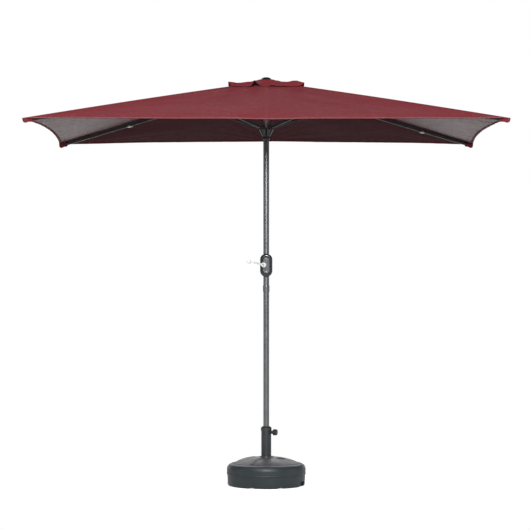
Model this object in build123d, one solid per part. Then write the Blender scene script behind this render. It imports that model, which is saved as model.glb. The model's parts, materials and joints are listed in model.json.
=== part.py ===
from build123d import *
import math
import os

# A centre-pole patio umbrella on a fillable round base, open. Millimetres, +Z up.
# The origin is on the floor under the pole. +X runs along the canopy's long side, and -Y is the crank's side.

TOTAL_HEIGHT = 2640.0

# canopy
HALF_WIDTH = 1450.0
HALF_DEPTH = 975.0
MIDDLE_REACH = 815.0
CORNER_TIP_Z = 2282.0
MIDDLE_TIP_Z = 2290.0
APEX_Z = 2612.0
CLOTH = 2.0
CLOTH_GAP = 0.15
VENT_SHARE = 0.115
CAP_SHARE = 0.168
CAP_APEX_Z = 2625.0
CAP_EDGE_Z = 2592.0
SIDE_HEM_SAG = 52.0
LONG_HEM_SAG = 12.0

# ribs and struts
HUB_PIN_R = 32.0
HUB_PIN_Z = 2585.0
RIB_WIDTH = 12.0
RIB_HEIGHT = 18.0
RIB_WALL = 1.2
RIB_BELOW_CLOTH = 14.0
RIB_TUBE_START = 20.0
RIB_SHORT_OF_TIP = 12.0
STRUT_WIDTH = 11.0
STRUT_HEIGHT = 15.0
STRUT_TUBE_START = 24.0
BRACKET_DROP = 18.0
CORNER_BRACKET_ALONG = 525.0
MIDDLE_BRACKET_ALONG = 554.08
TONGUE = 5.0
EYE_R = 6.5
PIN_R = 2.5
RUNNING = 0.05
SLOT_WIDTH = 6.4
RUNNER_SLOT_WIDTH = 11.6

# runner, which slides on the pole
RUNNER_PIN_Z = 2310.0
CORNER_LUG_R = 38.0
MIDDLE_LUG_R = 64.0
RUNNER_TOP_Z = 2322.0
RUNNER_BOTTOM_Z = 2236.0
RUNNER_SLEEVE_R = 24.0
RUNNER_R = 46.0
MIDDLE_LUG_WIDTH = 22.0

# pole
POLE_R = 19.0
POLE_BORE_R = 17.5
POLE_FOOT_Z = 190.0
POLE_JOINT_Z = 1268.0
POLE_TOP_Z = 2592.0

# crank
CRANK_Z = 1423.0
CRANK_TURN = 20.0
CRANK_ARM_UP = 12.5
CRANK_ARM = 92.0
HOUSING_WIDTH = 80.0
HOUSING_LENGTH = 151.0
HOUSING_MIDDLE_Z = 1420.5
HOUSING_FRONT = 38.0
HOUSING_BACK = 34.0
SHAFT_R = 5.0
SPOOL_R = 8.0
BOSS_FOOT = 47.0
ARM_MIDDLE = BOSS_FOOT + 8.0
GRIP_PIN_R = 3.0
SCREW_R = 2.0
SCREW_HEAD_R = 3.8

# top pulley and lift cord
PULLEY_X = 8.0
PULLEY_Z = 2540.0
CORD_R = 1.25
CORD_ROUND_R = 14.0

# base
BASE_R = 254.0
STEM_R = 32.35
STEM_BORE_R = 29.9
STEM_TOP_Z = 356.0
COLLAR_TOP_Z = 380.0
COLLAR_BORE_R = 22.0
KNOB_SCREW_R = 5.0
KNOB_Z = 343.0
KNOB_TURN = -20.0
FILLER_PLACE = (95.0, -50.0)
POCKET_Z = 164.0

CORNER_AZIMUTH = math.degrees(math.atan2(HALF_DEPTH, HALF_WIDTH))
CORNER_REACH = math.hypot(HALF_WIDTH, HALF_DEPTH)
RIBS = {
    "right_back": CORNER_AZIMUTH,
    "middle_back": 90.0,
    "left_back": 180.0 - CORNER_AZIMUTH,
    "left_front": 180.0 + CORNER_AZIMUTH,
    "middle_front": 270.0,
    "right_front": 360.0 - CORNER_AZIMUTH,
}


def slope_of(reach, tip_z):
    """The slope of a rib whose outer end lies just under the cloth."""
    drop = HUB_PIN_Z - (tip_z - RIB_BELOW_CLOTH)
    return math.degrees(math.atan2(drop, reach - HUB_PIN_R))


CORNER_SLOPE = slope_of(CORNER_REACH, CORNER_TIP_Z)
MIDDLE_SLOPE = slope_of(MIDDLE_REACH, MIDDLE_TIP_Z)


def save(name, *solids):
    """Write one node, which may be a group of separate solids."""
    shape = solids[0] if len(solids) == 1 else Compound(children=list(solids))
    export_step(shape, f"parts/{name}.step")


def rod(radius, low, high):
    """A cylinder along Z between two heights."""
    return Pos(0, 0, (low + high) / 2) * Cylinder(radius, high - low)


def pipe(outer, inner, low, high):
    return rod(outer, low, high) - rod(inner, low - 1, high + 1)


def turned(points):
    """A solid of revolution about Z from (radius, height) corners."""
    face = make_face(Polyline(*[(r, 0, z) for r, z in points], close=True))
    return revolve(face, Axis.Z)


def turned_line(line):
    return revolve(make_face(line), Axis.Z)


def across(radius, length, at=(0, 0, 0)):
    """A cylinder along Y, centred on a point."""
    return Pos(*at) * Rot(90, 0, 0) * Cylinder(radius, length)


def is_middle(name):
    return name.startswith("middle")


def at_azimuth(azimuth, radius, height, pitch=0.0):
    """A frame whose X points outward from the pole, pitched down by an angle, and whose Y is level."""
    return Rot(0, 0, azimuth) * Pos(radius, 0, height) * Rot(0, pitch, 0)


def rib_point(slope, along, above):
    """Radius and height of a point given along and above the axis of an open rib."""
    s = math.radians(slope)
    radius = HUB_PIN_R + along * math.cos(s) + above * math.sin(s)
    height = HUB_PIN_Z - along * math.sin(s) + above * math.cos(s)
    return radius, height


def rib_length(name):
    reach = MIDDLE_REACH if is_middle(name) else CORNER_REACH
    slope = MIDDLE_SLOPE if is_middle(name) else CORNER_SLOPE
    return (reach - HUB_PIN_R) / math.cos(math.radians(slope)) - RIB_SHORT_OF_TIP


def slope_for(name):
    return MIDDLE_SLOPE if is_middle(name) else CORNER_SLOPE


def bracket_along(name):
    return MIDDLE_BRACKET_ALONG if is_middle(name) else CORNER_BRACKET_ALONG


# ---- base -------------------------------------------------------------------------------------


def base_outline():
    """The outside of the blow-moulded base: foot, wall with a bead, soft shoulder, ring groove and dome."""
    foot = Polyline((STEM_R + 0.05, 0, 8), (60, 0, 8), (66, 0, 0), (234, 0, 0))
    foot_round = ThreePointArc((234, 0, 0), (244, 0, 4), (248.5, 0, 15))
    lower_wall = Line((248.5, 0, 15), (251.5, 0, 72))
    bead = ThreePointArc((251.5, 0, 72), (255.5, 0, 77), (254, 0, 82))
    upper_wall = Line((254, 0, 82), (254, 0, 104))
    shoulder = ThreePointArc((254, 0, 104), (249, 0, 126), (231, 0, 141))
    rim = Polyline((231, 0, 141), (221, 0, 144), (218.5, 0, 139.5), (214.5, 0, 139.5), (212, 0, 145))
    lip = Polyline((44, 0, 183), (42, 0, 188), (STEM_R + 0.05, 0, 188), (STEM_R + 0.05, 0, 8))
    return foot + foot_round + lower_wall + bead + upper_wall + shoulder + rim + dome_line(0) + lip


def dome_line(above):
    """The dome's curve from the ring groove up to the stem, raised by a small amount."""
    return ThreePointArc((212, 0, 145 + above), (130, 0, 174 + above), (44, 0, 183 + above))


def dome_skin(below, above):
    """A thin layer that follows the dome, which the pressed lines and ribs are cut from."""
    inner_end = Line((44, 0, 183 + above), (44, 0, 183 + below))
    outer_end = Line((212, 0, 145 + below), (212, 0, 145 + above))
    return turned_line(dome_line(above) + inner_end + dome_line(below) + outer_end)


def tank(shrink):
    """The space for the fill inside the base, made smaller by a gap on every side."""
    g = shrink
    return turned(
        [
            (38 + g, 5 + g),
            (146 - g, 5 + g),
            (150 - g, 13 + g),
            (216 - g, 13 + g),
            (216 - g, 46 + g),
            (247 - g, 52 + g),
            (247 - g, 104 - g),
            (226 - g, 125 - g),
            (206 - g, 125 - g),
            (200 - g, 138 - g),
            (124, 164 - g),
            (38 + g, 173 - g),
        ]
    )


def filler_well(radius, low, high):
    return Pos(FILLER_PLACE[0], FILLER_PLACE[1], 0) * rod(radius, low, high)


def hand_hold():
    """The finger recess under the lower wall, at the front right, for tipping and carrying the base."""
    return Rot(0, 0, -20) * Pos(BASE_R - 5, 0, 15) * Box(34, 78, 36)


def base_shell():
    outside = turned_line(base_outline())
    # pressed into the dome: radial lines, each with a raised rib beside it
    for azimuth in (62, 152, 242):
        outside -= dome_skin(-4, 6) & Rot(0, 0, azimuth) * Pos(142, 0, 160) * Box(134, 6, 100)
        outside += dome_skin(-3, 2.5) & Rot(0, 0, azimuth) * Pos(140, 11, 160) * Box(128, 9, 100)
    hollow = tank(0) - filler_well(34, 146, 200)
    shell = outside - hollow - filler_well(29, POCKET_Z, 200) - filler_well(18, 130, 200)
    shell -= hand_hold()
    # shallow scallops between the feet
    for step in range(8):
        scallop = Rot(0, 0, 22.5 + 45 * step) * Pos(215, 0, -52) * Rot(0, 90, 0)
        shell -= scallop * Cylinder(58, 110)
    return shell


def base_fill():
    """Water or sand, filled to just below the dome."""
    fill = tank(0.5) & rod(300, 0, 132)
    return fill - filler_well(34.5, 120, 200)


def filler_cap():
    plug = pipe(17.7, 14.5, POCKET_Z - 14, POCKET_Z + 3)
    disc = rod(25.5, POCKET_Z + 0.2, POCKET_Z + 7)
    disc = chamfer(disc.edges().sort_by(Axis.Z)[-1], 1.5)
    grip = Pos(0, 0, POCKET_Z + 8.5) * Box(38, 6, 5)
    cap = disc + grip + plug
    return Pos(FILLER_PLACE[0], FILLER_PLACE[1], 0) * cap


def stem_tube():
    tube = pipe(STEM_R, STEM_BORE_R, 8, STEM_TOP_Z)
    screw_hole = Rot(0, 0, KNOB_TURN) * Pos(STEM_R, 0, KNOB_Z) * Rot(0, 90, 0) * Cylinder(5.4, 12)
    return tube - screw_hole


def stem_collar():
    """The plastic cap over the tube's top, tapered up to the pole."""
    body = turned(
        [
            (STEM_R + 0.05, 352),
            (34.8, 352),
            (34.8, 371),
            (33.2, 373.5),
            (26, COLLAR_TOP_Z),
            (COLLAR_BORE_R, COLLAR_TOP_Z),
            (COLLAR_BORE_R, STEM_TOP_Z + 2),
            (STEM_R + 0.05, STEM_TOP_Z + 2),
        ]
    )
    screw_room = Rot(0, 0, KNOB_TURN) * Pos(38, 0, KNOB_Z) * Rot(0, 90, 0) * Cylinder(10.6, 22)
    return body - screw_room


def stem_bush():
    """The sleeve that turns in the stem and holds the pole's foot, with a neck inside the collar."""
    outside = rod(STEM_BORE_R - RUNNING, POLE_FOOT_Z - 6, STEM_TOP_Z + 1)
    neck = rod(COLLAR_BORE_R - RUNNING, STEM_TOP_Z, COLLAR_TOP_Z + 1)
    return outside + neck - rod(POLE_R + RUNNING, POLE_FOOT_Z, COLLAR_TOP_Z + 2)


def knob_frame():
    """Z runs outward along the clamp screw, from the pole's axis."""
    return Rot(0, 0, KNOB_TURN) * Pos(0, 0, KNOB_Z) * Rot(0, 90, 0)


def clamp_nut():
    boss = knob_frame() * pipe(10, KNOB_SCREW_R + RUNNING, 26, 41)
    return boss - rod(STEM_R + 0.02, 300, 380)


def clamp_screw():
    return knob_frame() * rod(KNOB_SCREW_R, STEM_BORE_R + 0.3, 60)


def clamp_knob():
    knob = rod(20, 47, 74)
    knob = fillet(knob.edges(), 6)
    for step in range(7):
        knob -= Rot(0, 0, step * 360 / 7) * Pos(23.5, 0, 60) * Cylinder(6, 40)
    knob += rod(9, 42, 50)
    return knob_frame() * (knob - rod(KNOB_SCREW_R, 30, 60))


# ---- pole -------------------------------------------------------------------------------------


def pole_foot_plug():
    cap = rod(POLE_R, POLE_FOOT_Z, POLE_FOOT_Z + 4)
    return cap + rod(POLE_BORE_R - 0.02, POLE_FOOT_Z + 4, POLE_FOOT_Z + 30)


def lower_pole():
    return pipe(POLE_R, POLE_BORE_R, POLE_FOOT_Z + 4, POLE_JOINT_Z)


def pole_coupling():
    """The inner tube that joins the two pole sections, fixed in the lower one."""
    return pipe(POLE_BORE_R - RUNNING, 15.5, POLE_JOINT_Z - 90, POLE_JOINT_Z + 70)


def joint_sleeve():
    """The collar over the seam between the pole sections."""
    body = turned(
        [
            (POLE_R + RUNNING, 1248),
            (20.5, 1248),
            (21.6, 1252),
            (21.6, 1286),
            (20.5, 1290),
            (POLE_R + RUNNING, 1290),
        ]
    )
    return body


def crank_frame():
    """Z runs along the crank shaft, out of the housing, and X points to the left of someone facing it."""
    axis = Plane(
        origin=(0, 0, CRANK_Z),
        x_dir=(-math.cos(math.radians(CRANK_TURN)), math.sin(math.radians(CRANK_TURN)), 0),
        z_dir=(-math.sin(math.radians(CRANK_TURN)), -math.cos(math.radians(CRANK_TURN)), 0),
    )
    return axis


def upper_pole():
    tube = pipe(POLE_R, POLE_BORE_R, POLE_JOINT_Z, POLE_TOP_Z)
    tube -= crank_frame() * rod(SHAFT_R + 0.4, -30, 30)
    tube -= Pos(POLE_R, 0, PULLEY_Z) * Box(14, 8, 36)
    tube -= across(2.05, 60, (PULLEY_X, 0, PULLEY_Z))
    return tube


# ---- crank ------------------------------------------------------------------------------------


def capsule(width, length, front, back):
    """An upright stadium outline, standing out in front of the pole and behind it."""
    outline = Plane.XZ * SlotOverall(length, width, rotation=90)
    return Pos(0, 0, HOUSING_MIDDLE_Z) * (extrude(outline, front) + extrude(outline, -back))


def soft_capsule(width, length, front, back, edge):
    """A capsule whose front and back rims are rounded."""
    body = capsule(width, length, front, back)
    rims = body.edges().group_by(Axis.Y)
    return fillet(rims[0] + rims[-1], edge)


def housing_screw_places():
    return [(x, HOUSING_MIDDLE_Z + z) for x in (-29, 29) for z in (-22, 22)]


def housing_body():
    """Both halves of the crank housing as one body, before it is parted."""
    wall = 3.5
    body = soft_capsule(HOUSING_WIDTH, HOUSING_LENGTH, HOUSING_FRONT, HOUSING_BACK, 15)
    relief = Plane.XZ.offset(HOUSING_FRONT - 4) * SlotOverall(104, 42, rotation=90)
    relief = Pos(0, 0, HOUSING_MIDDLE_Z) * extrude(relief, 6.5)
    relief = fillet(relief.edges().group_by(Axis.Y)[0], 2.0)
    body += relief
    body += crank_frame() * rod(16, 20, BOSS_FOOT - 0.5)
    width = HOUSING_WIDTH - 2 * wall
    length = HOUSING_LENGTH - 2 * wall
    body -= soft_capsule(width, length, HOUSING_FRONT - wall, HOUSING_BACK - wall, 15 - wall)
    # bearings for the shaft, and posts for the screws
    body += crank_frame() * rod(11, 19.6, 40)
    body += crank_frame() * rod(11, -33.5, -19.6)
    for x, z in housing_screw_places():
        body += across(5.5, HOUSING_FRONT + HOUSING_BACK - 4, (x, -2, z))
    body -= rod(POLE_R + 0.02, 1300, 1540)
    body -= crank_frame() * rod(SHAFT_R + RUNNING, -28, 60)
    for x, z in housing_screw_places():
        body -= across(SCREW_R + 0.02, 45, (x, 7.5, z))
        body -= across(SCREW_HEAD_R + 0.3, 14, (x, HOUSING_BACK, z))
    return body


def housing_screws():
    screws = []
    for x, z in housing_screw_places():
        shank = across(SCREW_R, 42, (x, 7, z))
        head = across(SCREW_HEAD_R, 3, (x, HOUSING_BACK - 5.4, z))
        screws.append(shank + head)
    return screws


def crank_shaft():
    return crank_frame() * rod(SHAFT_R, -27.5, BOSS_FOOT + 9)


def cord_spool():
    core = pipe(SPOOL_R, SHAFT_R + 0.02, -10, 10)
    ends = pipe(13.5, SHAFT_R + 0.02, -10, -8.5) + pipe(13.5, SHAFT_R + 0.02, 8.5, 10)
    return crank_frame() * (core + ends)


def brake_spring():
    """The closed turns of the wrap spring that keeps the canopy from winding down."""
    turns = [Pos(0, 0, 10.8 + 1.45 * n) * Torus(6.2, 0.7) for n in range(4)]
    return [crank_frame() * turn for turn in turns]


def crank_boss():
    body = turned(
        [
            (SHAFT_R + 0.02, BOSS_FOOT),
            (18, BOSS_FOOT),
            (18, BOSS_FOOT + 4),
            (14, BOSS_FOOT + 12),
            (11, BOSS_FOOT + 14),
            (SHAFT_R + 0.02, BOSS_FOOT + 14),
        ]
    )
    return crank_frame() * (body - arm_blank(0.1))


def arm_blank(extra=0.0):
    """The flat arm's outline: round ends and a slight taper."""
    low = ARM_MIDDLE - 2.5 - extra
    high = ARM_MIDDLE + 2.5 + extra
    hub = rod(9 + extra, low, high)
    end = Pos(CRANK_ARM, 0, 0) * rod(7 + extra, low, high)
    web = Pos(CRANK_ARM / 2, 0, ARM_MIDDLE) * Box(CRANK_ARM, 13 + 2 * extra, 5 + 2 * extra)
    return Rot(0, 0, -CRANK_ARM_UP) * (hub + end + web)


def grip_place():
    return crank_frame() * Rot(0, 0, -CRANK_ARM_UP) * Pos(CRANK_ARM, 0, 0)


def crank_arm():
    hole = Rot(0, 0, -CRANK_ARM_UP) * Pos(CRANK_ARM, 0, 0) * rod(GRIP_PIN_R + 0.02, 40, 70)
    return crank_frame() * (arm_blank() - hole - rod(SHAFT_R + 0.02, 40, 70))


def grip_pin():
    foot = ARM_MIDDLE - 2.5
    return grip_place() * (rod(GRIP_PIN_R, foot, foot + 49) + rod(5.2, foot + 49, foot + 51.5))


def crank_grip():
    foot = ARM_MIDDLE + 3.5
    body = turned(
        [
            (GRIP_PIN_R + RUNNING, foot),
            (9.5, foot),
            (11.5, foot + 5),
            (10.2, foot + 21),
            (11.8, foot + 37),
            (9, foot + 42.5),
            (GRIP_PIN_R + RUNNING, foot + 42.5),
        ]
    )
    return grip_place() * body


# ---- lift cord --------------------------------------------------------------------------------


def pulley_pin():
    return across(2, 2 * 16.9, (PULLEY_X, 0, PULLEY_Z))


def top_pulley():
    wheel = turned(
        [
            (2 + RUNNING, -3),
            (CORD_ROUND_R + 1.6, -3),
            (CORD_ROUND_R + 1.6, -2.3),
            (CORD_ROUND_R - 1.4, -1.3),
            (CORD_ROUND_R - 1.4, 1.3),
            (CORD_ROUND_R + 1.6, 2.3),
            (CORD_ROUND_R + 1.6, 3),
            (2 + RUNNING, 3),
        ]
    )
    return Pos(PULLEY_X, 0, PULLEY_Z) * Rot(90, 0, 0) * wheel


def straight_cord(start, end):
    run = Line(start, end)
    return sweep(Plane(origin=start, z_dir=run % 0) * Circle(CORD_R), path=run)


def inner_cord():
    """From the spool up inside the pole and over the pulley."""
    low = crank_frame() * Pos(SPOOL_R + CORD_R + 0.1, 0, 0)
    start = low.position
    top = (PULLEY_X - CORD_ROUND_R, 0, PULLEY_Z)
    climb = straight_cord((start.X, start.Y, start.Z), top)
    ring = Torus(CORD_ROUND_R, CORD_R)
    over = (Rot(90, 0, 0) * ring) & (Pos(0, 0, 25) * Box(60, 20, 50))
    over = Pos(PULLEY_X, 0, PULLEY_Z) * over
    return climb + over


def outer_cord():
    """From the pulley down to the runner."""
    return Pos(PULLEY_X + CORD_ROUND_R, 0, 0) * rod(CORD_R, RUNNER_TOP_Z + 0.2, PULLEY_Z)


# ---- crown and runner -------------------------------------------------------------------------


def fork_slot(name, inner, low, high, width=SLOT_WIDTH):
    """The open slot that a rib's or strut's end turns in."""
    height = high - low + 2
    cut = Box(90, width, height)
    return Rot(0, 0, RIBS[name]) * Pos(inner + 45, 0, (low + high) / 2) * cut


def crown_hub():
    body = turned(
        [
            (POLE_R + 0.02, 2562),
            (24, 2562),
            (24, 2574),
            (44, 2574),
            (46, 2576),
            (46, 2588),
            (44, 2590),
            (POLE_R + 0.02, 2590),
        ]
    )
    for name, azimuth in RIBS.items():
        body -= fork_slot(name, HUB_PIN_R - EYE_R - 1, 2574, 2590)
        body -= at_azimuth(azimuth, HUB_PIN_R, HUB_PIN_Z) * across(PIN_R, 16)
    body -= Pos(PULLEY_X + CORD_ROUND_R, 0, PULLEY_Z) * rod(3, -60, 26)
    return body


def crown_pins():
    return [
        at_azimuth(azimuth, HUB_PIN_R, HUB_PIN_Z) * across(PIN_R, 16) for azimuth in RIBS.values()
    ]


def finial():
    """The low dome that screws into the pole's top, through the cloth."""
    crown = TOTAL_HEIGHT
    radius = (32**2 + 10**2) / (2 * 10)
    half_way = crown - radius + math.sqrt(radius**2 - 16**2)
    line = Polyline(
        (0, 0, crown),
        (0, 0, POLE_TOP_Z - 24),
        (POLE_BORE_R - 0.02, 0, POLE_TOP_Z - 24),
        (POLE_BORE_R - 0.02, 0, POLE_TOP_Z),
        (8, 0, POLE_TOP_Z),
        (8, 0, crown - 13),
        (30, 0, crown - 13),
        (32, 0, crown - 10),
    )
    line += ThreePointArc((32, 0, crown - 10), (16, 0, half_way), (0, 0, crown))
    return turned_line(line)


def lug_radius(name):
    return MIDDLE_LUG_R if is_middle(name) else CORNER_LUG_R


def runner():
    """The sliding sleeve with a slotted lug for each strut."""
    body = turned(
        [
            (POLE_R + RUNNING, RUNNER_BOTTOM_Z),
            (RUNNER_SLEEVE_R - 1, RUNNER_BOTTOM_Z),
            (RUNNER_SLEEVE_R, RUNNER_BOTTOM_Z + 2),
            (RUNNER_SLEEVE_R, 2256),
            (RUNNER_R, 2298),
            (RUNNER_R, RUNNER_TOP_Z - 3),
            (RUNNER_R - 3, RUNNER_TOP_Z),
            (POLE_R + RUNNING, RUNNER_TOP_Z),
        ]
    )
    for name in RIBS:
        if is_middle(name):
            lug = Pos(RUNNER_R, 0, RUNNER_PIN_Z) * Box(52, MIDDLE_LUG_WIDTH, 24)
            lug = fillet(lug.edges().filter_by(Axis.Z).group_by(Axis.X)[-1], 4)
            body += Rot(0, 0, RIBS[name]) * lug - rod(POLE_R + RUNNING, 2200, 2400)
    for name in RIBS:
        # the slot is open at its top, foot and outer end, so the strut can also leave it downward
        low, high = RUNNER_BOTTOM_Z, RUNNER_TOP_Z
        body -= fork_slot(name, RUNNER_SLEEVE_R + 0.6, low, high, RUNNER_SLOT_WIDTH)
        across_slot = across(PIN_R + RUNNING, RUNNER_SLOT_WIDTH + 6)
        body -= at_azimuth(RIBS[name], lug_radius(name), RUNNER_PIN_Z) * across_slot
    return body


# ---- ribs and struts --------------------------------------------------------------------------


def rib_frame(name):
    return at_azimuth(RIBS[name], HUB_PIN_R, HUB_PIN_Z, slope_for(name))


def box_tube(width, height, wall, low, high):
    """A rectangular tube along X with rounded corners."""
    outline = Plane.YZ.offset(low) * RectangleRounded(width, height, 2)
    inside = Plane.YZ.offset(low) * RectangleRounded(width - 2 * wall, height - 2 * wall, 0.8)
    return extrude(outline, high - low) - extrude(inside, high - low)


def tongue(start, end, eye_at, height, width=TONGUE):
    """A flat tongue along X with a round eye at one end."""
    bar = Pos((start + end) / 2, 0, 0) * Box(abs(end - start), width, height)
    eye = across(EYE_R, width, (eye_at, 0, 0))
    return bar + eye - across(PIN_R + RUNNING, 30, (eye_at, 0, 0))


def rib(name):
    length = rib_length(name)
    tube = box_tube(RIB_WIDTH, RIB_HEIGHT, RIB_WALL, RIB_TUBE_START, length)
    inner_width = RIB_WIDTH - 2 * RIB_WALL
    plug = Pos(RIB_TUBE_START + 12, 0, 0) * Box(24, inner_width, RIB_HEIGHT - 2 * RIB_WALL - 0.6)
    body = tube + plug + tongue(0, RIB_TUBE_START + 4, 0, 11)
    at = bracket_along(name)
    for side in (-1, 1):
        cheek = Pos(at, side * (SLOT_WIDTH / 2 + 1), -15.5) * Box(22, 2, 15)
        cheek += across(8, 2, (at, side * (SLOT_WIDTH / 2 + 1), -BRACKET_DROP))
        body += cheek
    body -= across(PIN_R + RUNNING, 20, (at, 0, -BRACKET_DROP))
    return rib_frame(name) * body


def rib_tip(name):
    """The plastic cap on the rib's outer end, which sits in the cloth's pocket."""
    length = rib_length(name)
    sock = Pos(length - 10, 0, -0.2) * Box(30, 15, 19.8)
    sock = fillet(sock.edges().filter_by(Axis.X), 3)
    sock -= Pos(length - 20, 0, 0) * Box(40, RIB_WIDTH + 0.1, RIB_HEIGHT + 0.1)
    nose = Pos(length + 3, 0, 0) * Box(6, RIB_WIDTH, RIB_HEIGHT)
    nose = fillet(nose.edges().group_by(Axis.X)[-1], 2.5)
    return rib_frame(name) * (sock + nose)


def tie_clip(name, share):
    """The small square clip under a back rib."""
    at = share * rib_length(name)
    plate = Pos(at, 0, -RIB_HEIGHT / 2 - 1.6) * Box(32, 30, 3)
    plate = fillet(plate.edges().filter_by(Axis.Z), 3)
    for side in (-1, 1):
        plate += Pos(at, side * (RIB_WIDTH / 2 + 1.1), -6) * Box(20, 2, 9)
    return rib_frame(name) * plate


def strut_ends(name):
    """Radius and height of the strut's pin on the rib and of its foot in the runner."""
    top = rib_point(slope_for(name), bracket_along(name), -BRACKET_DROP)
    foot = (lug_radius(name), RUNNER_PIN_Z)
    return top, foot


def strut(name):
    top, foot = strut_ends(name)
    length = math.dist(top, foot)
    pitch = math.degrees(math.atan2(top[1] - foot[1], top[0] - foot[0]))
    bar = box_tube(STRUT_WIDTH, STRUT_HEIGHT, 1.2, STRUT_TUBE_START, length - STRUT_TUBE_START)
    ends = tongue(0, STRUT_TUBE_START, 0, 11, STRUT_WIDTH)
    ends += tongue(length - STRUT_TUBE_START - 8, length, length, 11)
    for middle in (STRUT_TUBE_START + 8, length - STRUT_TUBE_START - 8):
        ends += Pos(middle, 0, 0) * Box(16, STRUT_WIDTH - 2.4, STRUT_HEIGHT - 3)
    place = at_azimuth(RIBS[name], foot[0], foot[1], -pitch)
    upper_pin = across(PIN_R, 2 * (SLOT_WIDTH / 2 + 2.6), (length, 0, 0))
    foot_pin = across(PIN_R, STRUT_WIDTH, (0, 0, 0))
    return [place * (bar + ends), place * upper_pin, place * foot_pin]


# ---- canopy -----------------------------------------------------------------------------------


def tip_point(name):
    """The cloth's outermost point over a rib."""
    reach = MIDDLE_REACH if is_middle(name) else CORNER_REACH
    height = MIDDLE_TIP_Z if is_middle(name) else CORNER_TIP_Z
    turn = math.radians(RIBS[name])
    return Vector(reach * math.cos(turn), reach * math.sin(turn), height)


def between(start, end, share):
    return start + (end - start) * share


def share_at_azimuth(start, end, azimuth):
    """How far along a line from start to end its plan azimuth is reached."""
    turn = math.radians(azimuth)
    normal = Vector(-math.sin(turn), math.cos(turn), 0)
    return start.dot(normal) / (start.dot(normal) - end.dot(normal))


def neighbour(name, side):
    names = list(RIBS)
    return names[(names.index(name) + side) % len(names)]


def half_panel(name, side):
    """The half of a panel that this rib carries, from the rib to the middle of the panel."""
    other = neighbour(name, side)
    apex = Vector(0, 0, APEX_Z)
    tip = tip_point(name)
    far_tip = tip_point(other)
    gap = (RIBS[other] - RIBS[name] + 180) % 360 - 180
    seam = RIBS[name] + gap / 2
    share = share_at_azimuth(tip, far_tip, seam)
    seam_point = between(tip, far_tip, share)
    sag = LONG_HEM_SAG if is_middle(name) or is_middle(other) else SIDE_HEM_SAG
    inward = (apex - seam_point).normalized()
    hem_seam = seam_point + inward * (sag * 4 * share * (1 - share))
    quarter = share / 2
    hem_quarter = between(tip, far_tip, quarter) + inward * (sag * 4 * quarter * (1 - quarter))
    side_step = (far_tip - tip).normalized() * CLOTH_GAP
    start = between(apex, tip, VENT_SHARE)
    start_seam = between(apex, seam_point, VENT_SHARE)
    edge = Polyline(hem_seam - side_step, start_seam - side_step, start, tip)
    hem = ThreePointArc(tip, hem_quarter, hem_seam - side_step)
    face = make_face(edge + hem)
    normal = (tip - apex).cross(far_tip - apex).normalized()
    up = normal if normal.Z > 0 else -normal
    return extrude(Pos(0, 0, -CLOTH) * face, CLOTH, dir=up)


def canopy_gore(name):
    return [half_panel(name, side) for side in (-1, 1)]


def vent_cap():
    """The small raised cap over the vent, a thin low pyramid."""
    rim = []
    for name in RIBS:
        tip = tip_point(name)
        rim.append(Vector(tip.X * CAP_SHARE, tip.Y * CAP_SHARE, CAP_EDGE_Z))
    inner = [between(Vector(0, 0, CAP_APEX_Z), corner, 0.08) for corner in rim]
    panels = []
    for n, corner in enumerate(rim):
        after = (n + 1) % len(rim)
        face = make_face(Polyline(inner[n], corner, rim[after], inner[after], close=True))
        up = (corner - inner[n]).cross(rim[after] - inner[n]).normalized()
        up = up if up.Z > 0 else -up
        panels.append(extrude(face, CLOTH, dir=up))
    return panels


def build_all():
    os.makedirs("parts", exist_ok=True)
    save("base_shell", base_shell())
    save("base_fill", base_fill())
    save("filler_cap", filler_cap())
    save("stem_tube", stem_tube())
    save("stem_collar", stem_collar())
    save("stem_bush", stem_bush())
    save("clamp_nut", clamp_nut())
    save("clamp_screw", clamp_screw())
    save("clamp_knob", clamp_knob())
    save("pole_foot_plug", pole_foot_plug())
    save("lower_pole", lower_pole())
    save("pole_coupling", pole_coupling())
    save("joint_sleeve", joint_sleeve())
    save("upper_pole", upper_pole())
    housing = housing_body()
    save("crank_housing_front", housing & (Pos(0, -100.05, CRANK_Z) * Box(400, 200, 400)))
    save("crank_housing_back", housing & (Pos(0, 100.05, CRANK_Z) * Box(400, 200, 400)))
    save("housing_screws", *housing_screws())
    save("crank_shaft", crank_shaft())
    save("cord_spool", cord_spool())
    save("brake_spring", *brake_spring())
    save("crank_boss", crank_boss())
    save("crank_arm", crank_arm())
    save("grip_pin", grip_pin())
    save("crank_grip", crank_grip())
    save("top_pulley", top_pulley())
    save("pulley_pin", pulley_pin())
    save("lift_cord_inner", inner_cord())
    save("lift_cord_outer", outer_cord())
    save("crown_hub", crown_hub())
    save("crown_pins", *crown_pins())
    save("finial", finial())
    save("runner", runner())
    for name in RIBS:
        save(f"rib_{name}", rib(name))
        save(f"rib_tip_{name}", rib_tip(name))
        save(f"strut_{name}", *strut(name))
        save(f"canopy_gore_{name}", *canopy_gore(name))
    save("tie_clip_left", tie_clip("left_back", 0.64))
    save("tie_clip_right", tie_clip("right_back", 0.74))
    save("vent_cap", *vent_cap())


build_all()
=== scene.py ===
import json
import math

import bmesh
import bpy
import numpy as np
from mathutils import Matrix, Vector, noise


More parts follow.
